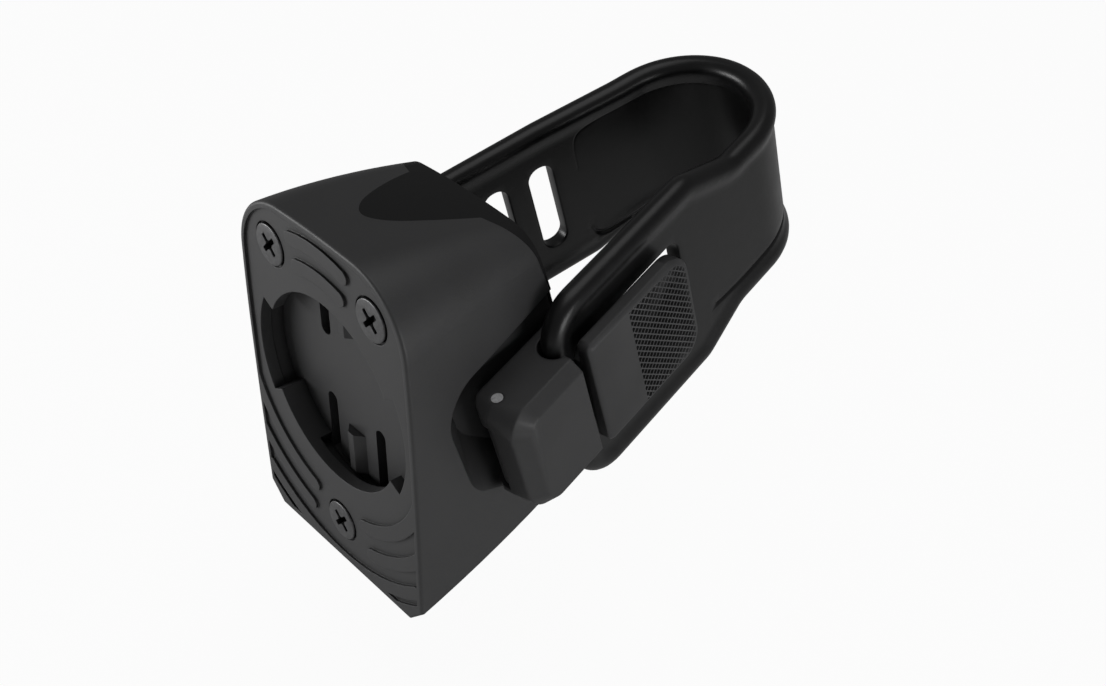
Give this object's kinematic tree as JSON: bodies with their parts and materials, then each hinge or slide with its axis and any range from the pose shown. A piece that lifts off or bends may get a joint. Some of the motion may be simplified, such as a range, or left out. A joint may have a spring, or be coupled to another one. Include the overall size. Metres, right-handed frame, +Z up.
{
  "type": "bicycle radar mount",
  "caption": "Quarter-turn socket on a tapered body that a stretchy strap loop and a hinged hook hold to a seat post.",
  "frame": {"origin": "centre of the quarter-turn socket, on the front plane of the face plate", "axes": "-Y out of the socket towards the device, +Y into the body towards the seat post, +Z up, +X to the right as seen from the socket; the seat post leans 15 degrees towards -Y as it goes up"},
  "size_m": [0.0469, 0.0771, 0.0511],
  "materials": {
    "body_plastic": "fine matte moulding",
    "face_plastic": "fine matte moulding",
    "disc_plastic": "smooth matte moulding",
    "pad_rubber": "soft matte rubber",
    "strap_rubber": "satin rubber",
    "hook_plastic": "fine matte moulding",
    "pin_steel": "plain ground end",
    "screw_steel": "dark zinc",
    "insert_brass": "turned"
  },
  "bodies": {
    "mount": {"housing": "body_plastic", "face_plate": "face_plastic", "detent_disc": "disc_plastic", "saddle_pad": "pad_rubber", "strap": "strap_rubber", "face_screw_upper_left": "screw_steel", "face_screw_upper_right": "screw_steel", "face_screw_lower": "screw_steel", "threaded_insert_upper_left": "insert_brass", "threaded_insert_upper_right": "insert_brass", "threaded_insert_lower": "insert_brass"},
    "hook": {"strap_hook": "hook_plastic", "hinge_pin": "pin_steel"}
  },
  "joints": [
    {"name": "hook_hinge", "type": "hinge", "parent": "mount", "child": "hook", "pos_m": [0.01865, 0.01387, -0.00364], "axis": [0, 0.2588, -0.9659], "range_deg": [0, 70], "deforming": ["strap"]}
  ]
}
